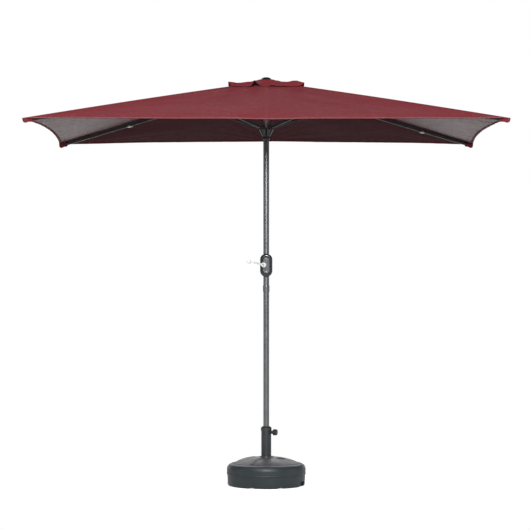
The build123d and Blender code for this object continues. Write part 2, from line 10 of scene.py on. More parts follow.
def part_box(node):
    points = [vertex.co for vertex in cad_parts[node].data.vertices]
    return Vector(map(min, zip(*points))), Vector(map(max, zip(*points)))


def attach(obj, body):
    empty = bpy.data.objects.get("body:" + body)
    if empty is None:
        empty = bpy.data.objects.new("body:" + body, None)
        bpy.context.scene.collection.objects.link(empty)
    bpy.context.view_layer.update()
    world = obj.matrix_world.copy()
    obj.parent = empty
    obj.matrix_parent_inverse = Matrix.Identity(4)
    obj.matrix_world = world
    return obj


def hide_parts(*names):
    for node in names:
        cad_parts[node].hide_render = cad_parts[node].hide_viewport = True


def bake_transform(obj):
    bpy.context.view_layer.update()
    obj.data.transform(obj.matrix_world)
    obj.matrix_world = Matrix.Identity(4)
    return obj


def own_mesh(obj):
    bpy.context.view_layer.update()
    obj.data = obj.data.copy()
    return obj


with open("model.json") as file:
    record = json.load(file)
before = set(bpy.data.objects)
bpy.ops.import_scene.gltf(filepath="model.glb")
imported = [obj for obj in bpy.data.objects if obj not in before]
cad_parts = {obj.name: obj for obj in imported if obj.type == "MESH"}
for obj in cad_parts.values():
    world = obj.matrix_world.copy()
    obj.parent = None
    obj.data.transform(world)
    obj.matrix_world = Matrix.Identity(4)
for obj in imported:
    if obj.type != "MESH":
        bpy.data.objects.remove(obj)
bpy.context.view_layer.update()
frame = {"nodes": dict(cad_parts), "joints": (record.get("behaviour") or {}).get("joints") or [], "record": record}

record = frame["record"]
MM = 0.001

# ---- camera, floor and light ------------------------------------------------------------------

CAMERA_PLACE = Vector((-0.008, -11.78, 1.26))
CAMERA_TILT_UP = 0.79
LENS_MM = 123.7
SENSOR_MM = 36.0
SURROUND_LIGHT = 0.13


def make_camera():
    data = bpy.data.cameras.new("camera")
    data.sensor_width = SENSOR_MM
    data.lens = LENS_MM
    data.clip_end = 200.0
    camera = bpy.data.objects.new("camera", data)
    camera.location = CAMERA_PLACE
    camera.rotation_euler = (math.radians(90.0 + CAMERA_TILT_UP), 0.0, 0.0)
    bpy.context.scene.collection.objects.link(camera)
    bpy.context.scene.camera = camera


def make_world():
    """A soft grey surround that is plain white where it is seen directly."""
    world = bpy.data.worlds.new("studio")
    bpy.context.scene.world = world
    world.use_nodes = True
    tree = world.node_tree
    tree.nodes.clear()
    out = tree.nodes.new("ShaderNodeOutputWorld")
    mix = tree.nodes.new("ShaderNodeMixShader")
    path = tree.nodes.new("ShaderNodeLightPath")
    light = tree.nodes.new("ShaderNodeBackground")
    light.inputs["Color"].default_value = (0.96, 0.98, 1.0, 1.0)
    light.inputs["Strength"].default_value = SURROUND_LIGHT
    seen = tree.nodes.new("ShaderNodeBackground")
    seen.inputs["Color"].default_value = (1.0, 1.0, 1.0, 1.0)
    seen.inputs["Strength"].default_value = 1.0
    tree.links.new(path.outputs["Is Camera Ray"], mix.inputs[0])
    tree.links.new(light.outputs[0], mix.inputs[1])
    tree.links.new(seen.outputs[0], mix.inputs[2])
    tree.links.new(mix.outputs[0], out.inputs["Surface"])


def area_light(name, place, target, width, height, power):
    """A soft box that faces its target, in metres and watts."""
    data = bpy.data.lights.new(name, "AREA")
    data.shape = "RECTANGLE"
    data.size = width
    data.size_y = height
    data.energy = power
    light = bpy.data.objects.new(name, data)
    light.location = place
    direction = Vector(target) - Vector(place)
    light.rotation_euler = direction.to_track_quat("-Z", "Y").to_euler()
    light.visible_camera = False
    bpy.context.scene.collection.objects.link(light)


def make_lights():
    area_light("key_above", (-1.0, -4.0, 7.0), (0, 0, 2.0), 6.0, 4.0, 245)
    area_light("front_high", (0.25, -7.4, 4.2), (0, 0, 1.7), 1.3, 1.8, 600)
    area_light("left_side", (-8.0, -1.5, 2.0), (0, 0, 1.4), 3.0, 5.0, 50)
    area_light("right_side", (8.0, -1.0, 2.0), (0, 0, 1.4), 3.0, 5.0, 60)
    area_light("backdrop", (0.0, 7.0, 1.1), (0, 0, 1.1), 14.0, 2.2, 125)
    area_light("behind", (0.0, 8.0, 6.0), (0, 0, 1.0), 8.0, 3.0, 220)


make_camera()
make_world()
make_lights()
bpy.context.scene.view_settings.view_transform = "Standard"

# ---- materials --------------------------------------------------------------------------------

# where the Mix node keeps its colour sockets
MIX_COLOUR_A = 6
MIX_COLOUR_B = 7
MIX_COLOUR_RESULT = 2

# sizes on the cloth, in metres
WEAVE_REPEAT = 0.0009
STITCH_REPEAT = 0.0045
STITCH_SHARE = 0.66
STITCH_HALF_WIDTH = 0.0007
NEAR_HEM_DEPTH = 0.22
HEM_STITCHES = 0.0155
EDGE_STITCHES = 0.0028
RIDGE_STITCHES = 0.0145


class Nodes:
    """Short names for the shader nodes that the materials here are made of."""

    def __init__(self, name):
        self.material = bpy.data.materials.new(name)
        self.material.use_nodes = True
        self.tree = self.material.node_tree
        self.tree.nodes.clear()
        out = self.tree.nodes.new("ShaderNodeOutputMaterial")
        self.shader = self.tree.nodes.new("ShaderNodeBsdfPrincipled")
        self.tree.links.new(self.shader.outputs[0], out.inputs["Surface"])
        coordinates = self.tree.nodes.new("ShaderNodeTexCoord")
        self.place = coordinates.outputs["Object"]
        self.uv = coordinates.outputs["UV"]

    def set(self, **values):
        """Fill the shader's inputs by name, with _ for a space."""
        for key, value in values.items():
            self.put(self.shader.inputs[key.replace("_", " ")], value)

    def put(self, socket, value):
        """Link the value where it is another node's output, and otherwise set it on the socket."""
        if hasattr(value, "is_output"):
            self.tree.links.new(value, socket)
        else:
            socket.default_value = value

    def math(self, operation, a, b=0.0, c=0.0):
        node = self.tree.nodes.new("ShaderNodeMath")
        node.operation = operation
        for socket, value in zip(node.inputs, (a, b, c)):
            self.put(socket, value)
        return node.outputs[0]

    def noise(self, scale, detail=3.0, rough=0.55, vector=None, stretch=None):
        source = vector or self.place
        if stretch:
            mapping = self.tree.nodes.new("ShaderNodeMapping")
            mapping.inputs["Scale"].default_value = stretch
            self.tree.links.new(source, mapping.inputs["Vector"])
            source = mapping.outputs[0]
        node = self.tree.nodes.new("ShaderNodeTexNoise")
        node.inputs["Scale"].default_value = scale
        node.inputs["Detail"].default_value = detail
        node.inputs["Roughness"].default_value = rough
        self.tree.links.new(source, node.inputs["Vector"])
        return node.outputs["Fac"]

    def ramp(self, value, low, high, start=0.3, end=0.7):
        node = self.tree.nodes.new("ShaderNodeMapRange")
        node.inputs["From Min"].default_value = start
        node.inputs["From Max"].default_value = end
        node.inputs["To Min"].default_value = low
        node.inputs["To Max"].default_value = high
        self.tree.links.new(value, node.inputs["Value"])
        return node.outputs[0]

    def mix(self, factor, a, b):
        node = self.tree.nodes.new("ShaderNodeMix")
        node.data_type = "RGBA"
        self.put(node.inputs["Factor"], factor)
        for socket, value in ((node.inputs[MIX_COLOUR_A], a), (node.inputs[MIX_COLOUR_B], b)):
            self.put(socket, value if hasattr(value, "is_output") else (*value, 1.0))
        return node.outputs[MIX_COLOUR_RESULT]

    def bump(self, height, distance, strength=1.0, below=None):
        node = self.tree.nodes.new("ShaderNodeBump")
        node.inputs["Strength"].default_value = strength
        node.inputs["Distance"].default_value = distance
        self.tree.links.new(height, node.inputs["Height"])
        if below:
            self.tree.links.new(below, node.inputs["Normal"])
        return node.outputs[0]

    def facing_up(self):
        """1 where the surface faces up, where dust settles, and 0 on walls."""
        geometry = self.tree.nodes.new("ShaderNodeNewGeometry")
        split = self.tree.nodes.new("ShaderNodeSeparateXYZ")
        self.tree.links.new(geometry.outputs["Normal"], split.inputs[0])
        return self.ramp(split.outputs[2], 0.0, 1.0, 0.75, 0.97)

    def worn_edges(self, amount):
        """Nearly 0 on flat surfaces and up to amount along outside edges."""
        geometry = self.tree.nodes.new("ShaderNodeNewGeometry")
        return self.ramp(geometry.outputs["Pointiness"], 0.0, amount, 0.52, 0.6)


def coated(name, colour, other, rough, grain, grain_height, blotch=6.0, wear=0.0,
           worn=(0.3, 0.3, 0.3), dust=None, stretch=None, **constants):
    """A painted, plated or moulded surface: two close colours, uneven gloss, fine grain and worn edges."""
    n = Nodes(name)
    base = n.mix(n.ramp(n.noise(blotch, 4.0), 0.0, 1.0), colour, other)
    if dust:
        base = n.mix(n.facing_up(), base, dust)
    if wear:
        base = n.mix(n.worn_edges(wear), base, worn)
    fine = n.noise(grain, 2.0, 0.6, stretch=stretch)
    n.set(Base_Color=base, Roughness=n.ramp(n.noise(blotch * 5, 3.0), rough[0], rough[1]),
          Normal=n.bump(fine, grain_height), **constants)
    return n.material


def cloth(name, colour, other, painted_light_near_hem, thread, hem_rows, rough=(0.62, 0.74), **constants):
    """Plain-woven polyester. U runs along the hem and V in from it, both in metres."""
    n = Nodes(name)
    split = n.tree.nodes.new("ShaderNodeSeparateXYZ")
    n.tree.links.new(n.uv, split.inputs[0])
    along, inward = split.outputs[0], split.outputs[1]
    base = n.mix(n.ramp(n.noise(2.2, 3.0), 0.0, 1.0), colour, other)
    # painted light near the hem: within NEAR_HEM_DEPTH of the hem the colour moves to the third colour given,
    # which is painted shade on the canopy panels and a painted highlight on the hem
    base = n.mix(n.ramp(inward, 1.0, 0.0, 0.0, NEAR_HEM_DEPTH), base, painted_light_near_hem)
    # slubs: yarns a little lighter or darker than the rest, along both directions of the weave
    slub = n.noise(1.0, 2.0, 0.6, vector=n.uv, stretch=(40.0, 1400.0, 1.0))
    slub_across = n.noise(1.0, 2.0, 0.6, vector=n.uv, stretch=(1400.0, 40.0, 1.0))
    yarns = n.math("MULTIPLY", n.math("ADD", slub, slub_across), 0.5)
    base = n.mix(n.ramp(yarns, 0.0, 0.14, 0.4, 0.7), base, thread)
    dashes = n.math("LESS_THAN", n.math("FRACT", n.math("DIVIDE", along, STITCH_REPEAT)), STITCH_SHARE)
    stitches = 0.0
    for row in hem_rows:
        line = n.math("COMPARE", inward, row, STITCH_HALF_WIDTH)
        stitches = n.math("MAXIMUM", stitches, n.math("MULTIPLY", line, dashes))
    base = n.mix(n.math("MULTIPLY", stitches, 0.8), base, thread)
    pitch = 2 * math.pi / WEAVE_REPEAT
    weave = n.math("MULTIPLY", n.math("SINE", n.math("MULTIPLY", along, pitch)),
                   n.math("SINE", n.math("MULTIPLY", inward, pitch)))
    height = n.math("ADD", n.math("MULTIPLY", weave, 0.3), stitches)
    crumple = n.noise(26.0, 3.0, 0.6)
    normal = n.bump(height, 0.00025, below=n.bump(crumple, 0.0012, 0.6))
    n.set(Base_Color=base, Roughness=n.ramp(n.noise(30.0), rough[0], rough[1]), Normal=normal,
          **constants)
    return n.material


MATERIALS = {
    "base_plastic": coated("base_plastic", (0.017, 0.024, 0.026), (0.024, 0.031, 0.034), (0.36, 0.50), 420.0,
                           0.0003, blotch=5.0, wear=0.35, worn=(0.12, 0.13, 0.14), dust=(0.062, 0.059, 0.066),
                           Specular_IOR_Level=0.40),
    "fill": coated("fill", (0.42, 0.36, 0.25), (0.5, 0.44, 0.32), (0.8, 0.95), 300.0, 0.0008),
    "black_plastic": coated("black_plastic", (0.010, 0.011, 0.011), (0.016, 0.017, 0.017), (0.34, 0.48),
                            600.0, 0.0002, wear=0.3, worn=(0.06, 0.06, 0.06)),
    "stem_paint": coated("stem_paint", (0.021, 0.026, 0.029), (0.029, 0.034, 0.037), (0.36, 0.46), 900.0,
                         0.0002, Metallic=0.25, Coat_Weight=0.2, Coat_Roughness=0.25),
    "pole_paint": coated("pole_paint", (0.158, 0.163, 0.168), (0.186, 0.191, 0.196), (0.33, 0.37), 700.0,
                         0.00004, Metallic=0.85, Coat_Weight=0.10, Coat_Roughness=0.3),
    "housing_plastic": coated("housing_plastic", (0.014, 0.015, 0.018), (0.020, 0.021, 0.024), (0.18, 0.24),
                              500.0, 0.00004, wear=0.2, worn=(0.08, 0.08, 0.08), Specular_IOR_Level=0.5,
                              Coat_Weight=0.2, Coat_Roughness=0.1),
    "bright_steel": coated("bright_steel", (0.90, 0.90, 0.90), (0.80, 0.80, 0.81), (0.22, 0.34), 700.0,
                           0.0001, Metallic=0.45, Coat_Weight=0.3, Coat_Roughness=0.1),
    "plain_steel": coated("plain_steel", (0.42, 0.42, 0.43), (0.34, 0.34, 0.35), (0.28, 0.42), 600.0, 0.0001,
                          stretch=(1.0, 1.0, 0.1), Metallic=1.0),
    "grip_plastic": coated("grip_plastic", (0.80, 0.80, 0.79), (0.88, 0.88, 0.87), (0.35, 0.5), 500.0,
                           0.0002),
    "bush_plastic": coated("bush_plastic", (0.020, 0.020, 0.022), (0.030, 0.030, 0.032), (0.5, 0.6), 500.0,
                           0.0002),
    "frame_paint": coated("frame_paint", (0.012, 0.014, 0.013), (0.020, 0.023, 0.021), (0.34, 0.46), 900.0,
                          0.0002, wear=0.25, worn=(0.10, 0.10, 0.10), Metallic=0.2),
    "clip_plastic": coated("clip_plastic", (0.40, 0.41, 0.39), (0.46, 0.47, 0.45), (0.4, 0.55), 500.0,
                           0.0002),
    "cord": coated("cord", (0.62, 0.61, 0.58), (0.50, 0.49, 0.47), (0.7, 0.85), 2500.0, 0.0005),
    # the canopy cloth's third colour is painted shade near the hem: a deeper, more saturated red
    "canopy_cloth": cloth("canopy_cloth", (0.143, 0.017, 0.023), (0.128, 0.012, 0.018), (0.146, 0.011, 0.017),
                          (0.21, 0.045, 0.052), (HEM_STITCHES,), Sheen_Weight=0.03, Sheen_Roughness=0.5,
                          Specular_IOR_Level=0.10),
}
SEAM_CLOTH = cloth("seam_cloth", (0.143, 0.017, 0.023), (0.128, 0.012, 0.018), (0.136, 0.015, 0.020),
                   (0.21, 0.045, 0.052), (RIDGE_STITCHES, EDGE_STITCHES), Sheen_Weight=0.03,
                   Specular_IOR_Level=0.08)
# painted shade: the cloth's underside is a much darker copy of its colour, standing in for the shade under the
# canopy
CLOTH_UNDER_PAINTED_SHADE = cloth("cloth_under_painted_shade", (0.040, 0.007, 0.009), (0.034, 0.006, 0.008), (0.040, 0.007, 0.009),
                    (0.06, 0.015, 0.019), (HEM_STITCHES,), rough=(0.32, 0.40), Specular_IOR_Level=0.03,
                    Sheen_Weight=0.07, Sheen_Roughness=0.25, Sheen_Tint=(0.9, 0.4, 0.4, 1.0))
# painted shade: the hem's underside is a darker copy of the hem's colour
HEM_UNDER_PAINTED_SHADE = cloth("hem_under_painted_shade", (0.070, 0.010, 0.014), (0.060, 0.008, 0.012), (0.070, 0.010, 0.014),
                  (0.11, 0.03, 0.035), (HEM_STITCHES, EDGE_STITCHES), Specular_IOR_Level=0.04)
# painted highlight: the hem's top is a lighter, pinker copy of the canopy cloth, its third colour most of all, for
# the light the folded hem catches
HEM_CLOTH_PAINTED_HIGHLIGHT = cloth("hem_cloth_painted_highlight", (0.150, 0.020, 0.027), (0.135, 0.015, 0.022), (0.200, 0.050, 0.058),
                  (0.25, 0.07, 0.08), (HEM_STITCHES, EDGE_STITCHES), Sheen_Weight=0.04,
                  Specular_IOR_Level=0.10)

for part in record["subparts"]:
    for material_slot in frame["nodes"][part["node"]].material_slots:
        material_slot.material = MATERIALS[part["material_slot"]]

# ---- the canopy's plan ------------------------------------------------------------------------

CLOTH_THICKNESS = 1.0 * MM
VENT_SHARE = 0.115
CAP_SHARE = 0.168
SIDE_HEM_SAG = 52 * MM
LONG_HEM_SAG = 12 * MM
MIDDLE_TIP_RISE = 8 * MM
MIDDLE_TIP_BEYOND_CAP = 5.6 * MM
HEM_WIDTH = 18 * MM
RIDGE_BOW = 5 * MM
SIDE_BELLY = 16 * MM
LONG_BELLY = 9 * MM
SEED_STEP = 17.0

FOLD = "rib_fold_"
FOLDS = {j["name"][len(FOLD):]: j for j in frame["joints"] if j["name"].startswith(FOLD)}


def azimuth(name):
    x, y, _ = FOLDS[name]["pos_m"]
    return math.atan2(y, x) % (2 * math.pi)


RIBS = sorted(FOLDS, key=azimuth)


def is_middle(name):
    return name.startswith("middle")


def eased(x):
    """From 0 to 1 with level ends."""
    x = min(1.0, max(0.0, x))
    return x * x * (3 - 2 * x)


def tip_of(name):
    """The cloth's outermost point over a rib."""
    corner_low, corner_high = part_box("canopy_gore_right_back")
    corner_z = corner_low[2] + 2 * MM
    x_side = math.cos(azimuth(name))
    y_side = math.copysign(1.0, math.sin(azimuth(name)))
    if is_middle(name):
        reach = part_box("rib_tip_middle_back")[1][1] + MIDDLE_TIP_BEYOND_CAP
        return Vector((0.0, y_side * reach, corner_z + MIDDLE_TIP_RISE))
    return Vector((math.copysign(corner_high[0], x_side), y_side * corner_high[1], corner_z))


TIPS = {name: tip_of(name) for name in RIBS}
GORE_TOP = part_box("canopy_gore_right_back")[1][2]
APEX = Vector((0.0, 0.0, (GORE_TOP - VENT_SHARE * TIPS["right_back"].z) / (1 - VENT_SHARE)))


class Panel:
    """The cloth between two neighbouring ribs. S runs along the hem from a to b, and T out from the apex."""

    def __init__(self, a, b):
        self.a, self.b = a, b
        self.start, self.end = TIPS[a], TIPS[b]
        self.side = not (is_middle(a) or is_middle(b))
        gap = (azimuth(b) - azimuth(a)) % (2 * math.pi)
        seam = azimuth(a) + gap / 2
        normal = Vector((-math.sin(seam), math.cos(seam), 0.0))
        one, two = self.start.dot(normal), self.end.dot(normal)
        self.middle = one / (one - two)
        seam_point = self.start.lerp(self.end, self.middle)
        self.inward = (APEX - seam_point).normalized()
        self.length = (self.end - self.start).length
        self.hem_sag = SIDE_HEM_SAG if self.side else LONG_HEM_SAG
        self.belly = SIDE_BELLY if self.side else LONG_BELLY
        self.seed = SEED_STEP * RIBS.index(a)

    def height(self):
        """How far the apex is from the hem's chord."""
        along = (self.end - self.start).normalized()
        from_tip = APEX - self.start
        return (from_tip - along * from_tip.dot(along)).length

    def hem(self, s):
        return self.start.lerp(self.end, s) + self.inward * (self.hem_sag * 4 * s * (1 - s))

    def ripples(self, s, t):
        """Tension wrinkles: short ones off a curved hem, long ones out of each tip, and slow waves."""
        along = s * self.length
        inward = (1 - t) * (self.hem(s) - APEX).length
        near_rib = min(s, 1 - s) * t * self.length
        loose = eased(near_rib / 0.06)
        slow = noise.noise((along / 0.42 + self.seed, inward / 0.30, 1.7)) * 3.0 * MM
        fine_size = 3.6 * MM if self.side else 0.7 * MM
        fine = noise.noise((along / 0.045 + 0.35 * inward / 0.045, inward / 0.22, self.seed + 4.1))
        fine *= fine_size * math.exp(-inward / 0.15)
        rays = 0.0
        for corner, place in ((s, 5.0), (1 - s, 9.0)):
            across = corner * self.length * t
            reach = math.hypot(across, inward)
            turn = math.atan2(inward, across + 0.02)
            ray = noise.noise((turn * 7.0, reach * 0.8, self.seed + place))
            rays += ray * 1.9 * MM * math.exp(-reach / 0.55) * min(1.0, reach / 0.12)
        return loose * (slow + fine + rays)

    def point(self, s, t):
        place = APEX.lerp(self.hem(s), t)
        place.z += RIDGE_BOW * math.sin(math.pi * t)
        place.z -= self.belly * 4 * s * (1 - s) * math.sin(math.pi * t ** 1.4)
        place.z += self.ripples(s, t)
        return place

    def normal(self, s, t):
        step = 0.004
        ds = self.point(min(1, s + step), t) - self.point(max(0, s - step), t)
        dt = self.point(s, min(1, t + step)) - self.point(s, t - step)
        up = ds.cross(dt).normalized()
        return up if up.z > 0 else -up

    def halves(self):
        """(rib, how far along S it lies, the name of this side of it) for both ribs."""
        return ((self.a, 0.0, "left_half"), (self.b, 1.0, "right_half"))


PANELS = [Panel(a, RIBS[(i + 1) % len(RIBS)]) for i, a in enumerate(RIBS)]


# ---- mesh helpers -----------------------------------------------------------------------------


class Builder:
    """Collects points, faces, UVs and material numbers, then makes one object."""

    def __init__(self):
        self.points, self.uvs, self.faces, self.marks = [], [], [], []

    def add(self, point, uv=(0.0, 0.0)):
        self.points.append(tuple(point))
        self.uvs.append(uv)
        return len(self.points) - 1

    def face(self, corners, mark=0):
        self.faces.append(tuple(corners))
        self.marks.append(mark)

    def grid(self, rows, mark=0, flip=False, closed=False):
        """Faces between rows of point numbers. closed joins each row's ends.
        mark is a material number, or a list of them with one for each column."""
        for one, two in zip(rows, rows[1:]):
            count = len(one)
            for i in range(count if closed else count - 1):
                k = (i + 1) % count
                corners = (one[i], one[k], two[k], two[i])
                own_mark = mark[i] if isinstance(mark, list) else mark
                self.face(corners[::-1] if flip else corners, own_mark)

    def sheet(self, places, normals, uvs, thickness, marks):
        """A closed thin sheet from a grid of top points: top, underside and rim."""
        top, under = [], []
        for line, ups, flat in zip(places, normals, uvs):
            top.append([self.add(p, uv) for p, uv in zip(line, flat)])
            under.append([self.add(p - n * thickness, uv) for p, n, uv in zip(line, ups, flat)])
        self.grid(top, marks[0])
        self.grid(under, marks[1], flip=True)
        around = [(0, c) for c in range(len(top[0]))]
        around += [(r, len(top[0]) - 1) for r in range(1, len(top))]
        around += [(len(top) - 1, c) for c in range(len(top[0]) - 2, -1, -1)]
        around += [(r, 0) for r in range(len(top) - 2, 0, -1)]
        for (r, c), (r2, c2) in zip(around, around[1:] + around[:1]):
            self.face((top[r][c], under[r][c], under[r2][c2], top[r2][c2]), marks[2])

    def tube(self, rings, mark=0, uv=None):
        """A closed skin through rings of places, with a flat cap at each end."""
        rows = []
        for r, ring in enumerate(rings):
            rows.append([self.add(p, uv(r, i) if uv else (0.0, 0.0)) for i, p in enumerate(ring)])
        self.grid(rows, mark, closed=True)
        end_mark = mark[0] if isinstance(mark, list) else mark
        self.face(rows[0][::-1], end_mark)
        self.face(rows[-1], end_mark)

    def make(self, name, materials, crease=50.0):
        mesh = bpy.data.meshes.new(name)
        mesh.from_pydata(self.points, [], self.faces)
        mesh.update()
        for material in materials:
            mesh.materials.append(material)
        mesh.polygons.foreach_set("material_index", self.marks)
        mesh.polygons.foreach_set("use_smooth", [True] * len(self.faces))
        layer = mesh.uv_layers.new(name="UVMap")
        corner_points = np.zeros(len(mesh.loops), dtype=np.int32)
        mesh.loops.foreach_get("vertex_index", corner_points)
        layer.data.foreach_set("uv", np.array(self.uvs, dtype=np.float32)[corner_points].ravel())
        turn_outward(mesh)
        mesh.set_sharp_from_angle(angle=math.radians(crease))
        piece = bpy.data.objects.new(name, mesh)
        bpy.context.scene.collection.objects.link(piece)
        return piece


def turn_outward(mesh):
    """Turn every closed shell's faces outward."""
    work = bmesh.new()
    work.from_mesh(mesh)
    bmesh.ops.recalc_face_normals(work, faces=work.faces)
    work.to_mesh(mesh)
    work.free()


def smooth_list(points, at):
    """A value between control points (place, value), eased from one to the next."""
    for (a, u), (b, v) in zip(points, points[1:]):
        if at <= b:
            return u + (v - u) * eased((at - a) / (b - a))
    return points[-1][1]


# ---- canopy cloth -----------------------------------------------------------------------------

GORE_COLUMNS = 64
GORE_ROWS = 100
SHEET_ALLOWANCE = 0.02
SEAM_STEPS = 90
SEAM_HALF_WIDTH = 7 * MM
SEAM_UNDERSIDE = -0.4 * MM


def columns_of(panel, s_rib, count):
    """Places along S between a rib and the middle of its panel, in rising order."""
    reach = panel.middle - s_rib
    columns = [s_rib + reach * i / count for i in range(count + 1)]
    return columns[::-1] if s_rib == 1.0 else columns


def ride_rib(piece, rib):
    """Make a piece of the canopy follow its rib."""
    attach(piece, f"rib_{rib}")


def flatten_with(piece):
    """Give a sheet its own copy of its mesh."""
    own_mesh(piece)


def hem_cut(panel, s):
    """How much T is one metre in from the hem at this place, so that the hem is equally wide all along."""
    radial = panel.hem(s) - APEX
    tangent = (panel.hem(min(1, s + 0.01)) - panel.hem(max(0, s - 0.01))).normalized()
    slant = math.sqrt(max(0.05, 1 - radial.normalized().dot(tangent) ** 2))
    return 1 / (radial.length * slant)


def gore_half(panel, rib, s_rib, half):
    """Half a panel of cloth, from its rib to the middle of the panel, with its turned hem."""
    columns = columns_of(panel, s_rib, GORE_COLUMNS)
    rows = [VENT_SHARE + (1 - VENT_SHARE) * (i / GORE_ROWS) ** 0.9 for i in range(GORE_ROWS + 1)]
    places, normals, uvs = [], [], []
    for t in rows:
        places.append([panel.point(s, t) for s in columns])
        normals.append([panel.normal(s, t) for s in columns])
        uvs.append([(s * panel.length, (1 - t) / hem_cut(panel, s)) for s in columns])
    build = Builder()
    build.sheet(places, normals, uvs, CLOTH_THICKNESS, (0, 1, 2))
    # the hem is folded over twice and sewn, so it is thicker than the cloth: (metres in, mm up)
    section = ((HEM_WIDTH, 0.5), (HEM_WIDTH * 0.97, 0.9), (0.002, 1.0), (-0.0006, 0.6), (-0.0006, -1.6),
               (0.002, -2.0), (HEM_WIDTH * 0.97, -1.9), (HEM_WIDTH, -1.5))
    rings = []
    for s in columns:
        per_metre = hem_cut(panel, s)
        up = panel.normal(s, 0.996)
        rings.append([panel.point(s, 1 - v * per_metre) + up * (h * MM) for v, h in section])
    # the hem's upper faces take the painted-highlight hem material and its lower faces the painted-shade one
    marks = [2, 2, 2, 3, 3, 3, 3, 3]
    build.tube(rings, marks, uv=lambda r, i: (columns[r] * panel.length, max(0.0, section[i][0])))
    cloths = [MATERIALS["canopy_cloth"], CLOTH_UNDER_PAINTED_SHADE, HEM_CLOTH_PAINTED_HIGHLIGHT, HEM_UNDER_PAINTED_SHADE]
    piece = build.make(f"gore_{rib}_{half}", cloths)
    ride_rib(piece, rib)
    flatten_with(piece)
    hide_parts(f"canopy_gore_{rib}")
    wide = panel.length * abs(panel.middle - s_rib)
    flat = (wide + SHEET_ALLOWANCE, panel.height() + SHEET_ALLOWANCE)


for panel in PANELS:
    for rib, s_rib, half in panel.halves():
        gore_half(panel, rib, s_rib, half)


def ridge_seam(rib):
    """The felled seam along a ridge: a narrow raised band that follows the fold of the cloth."""
    panel_after = next(p for p in PANELS if p.a == rib)
    panel_before = next(p for p in PANELS if p.b == rib)
    below = Vector((0, 0, SEAM_UNDERSIDE))
    rings = []
    for i in range(SEAM_STEPS + 1):
        t = VENT_SHARE + 0.004 + (0.992 - VENT_SHARE) * i / SEAM_STEPS
        after_width = SEAM_HALF_WIDTH / (t * panel_after.length)
        before_width = SEAM_HALF_WIDTH / (t * panel_before.length)
        ring = []
        for share, height in ((1.0, 0.1), (0.96, 0.8), (0.45, 1.0), (0.0, 0.9)):
            ring.append(panel_before.point(1 - before_width * share, t) + Vector((0, 0, height * MM)))
        for share, height in ((0.45, 1.0), (0.96, 0.8), (1.0, 0.1)):
            ring.append(panel_after.point(after_width * share, t) + Vector((0, 0, height * MM)))
        for share in (0.5, 0.0):
            ring.append(panel_after.point(after_width * share, t) + below)
        ring.append(panel_before.point(1 - before_width * 0.5, t) + below)
        rings.append(ring)
    length = (TIPS[rib] - APEX).length
    # V at each corner of the section, so that a line of stitches runs along both sides of the seam
    across_rows = (0.0, EDGE_STITCHES, 0.0040, 0.0090, RIDGE_STITCHES, HEM_STITCHES, 0.0185, 0.012, 0.009,
                   0.006)
    build = Builder()
    build.tube(rings, 0, uv=lambda r, i: (r / SEAM_STEPS * length, across_rows[i]))
    piece = build.make(f"ridge_seam_{rib}", [SEAM_CLOTH], crease=60.0)
    ride_rib(piece, rib)


POCKET_LENGTH = 62 * MM
POCKET_STEPS = 14
POCKET_ARC_STEPS = 16
POCKET_HALF_WIDTH = 11.5
POCKET_DEPTH = 28.0
POCKET_CLOSES_FROM = 0.80
POCKET_CLOTH = 1.1 * MM
POCKET_END_CLOTH = 1.2 * MM


def pocket(rib):
    """The sewn pocket under each tip of the canopy, which the rib's end cap sits in."""
    outward = Vector((math.cos(azimuth(rib)), math.sin(azimuth(rib)), 0.0))
    side = Vector((-outward.y, outward.x, 0.0))
    tip = TIPS[rib]
    down_slope = (tip - APEX).normalized()
    below = side.cross(down_slope)
    below = below if below.z < 0 else -below
    build = Builder()
    outer, inner = [], []
    for i in range(POCKET_STEPS + 1):
        x = i / POCKET_STEPS
        back = POCKET_LENGTH * (1 - x)
        end = max(0.0, (x - POCKET_CLOSES_FROM) / (1 - POCKET_CLOSES_FROM))
        pinch = math.sqrt(max(0.0, 1 - end * end * 0.93))
        half = (POCKET_HALF_WIDTH + 1.5 * math.sin(6 * x)) * MM * (0.35 + 0.65 * pinch)
        deep = (POCKET_DEPTH + 1.2 * math.sin(9 * x + 1)) * MM * (0.45 + 0.55 * pinch)
        centre = tip - down_slope * (back + 0.003) + below * (1.2 * MM)
        ring, hollow = [], []
        for k in range(POCKET_ARC_STEPS + 1):
            turn = math.pi * k / POCKET_ARC_STEPS
            across = -math.cos(turn)
            drop = math.sin(turn) ** 0.55
            spot = centre + side * (across * half * (0.72 + 0.28 * drop)) + below * (drop * deep)
            ring.append(spot)
            to_middle = (centre + below * (deep * 0.45) - spot).normalized()
            hollow.append(spot + to_middle * POCKET_CLOTH)
        outer.append(ring)
        inner.append(hollow)
    rings = [line + hollow[::-1] for line, hollow in zip(outer, inner)]
    build.tube(rings, 0, uv=lambda r, i: (i * 0.004, r * 0.0075))
    # the closed end
    end_ring = outer[-1]
    thick = [p + down_slope * POCKET_END_CLOTH for p in end_ring]
    build.tube([end_ring, thick], 0)
    piece = build.make(f"tip_pocket_{rib}", [SEAM_CLOTH])
    ride_rib(piece, rib)


for rib in RIBS:
    ridge_seam(rib)
    pocket(rib)

# ---- vent cap ---------------------------------------------------------------------------------

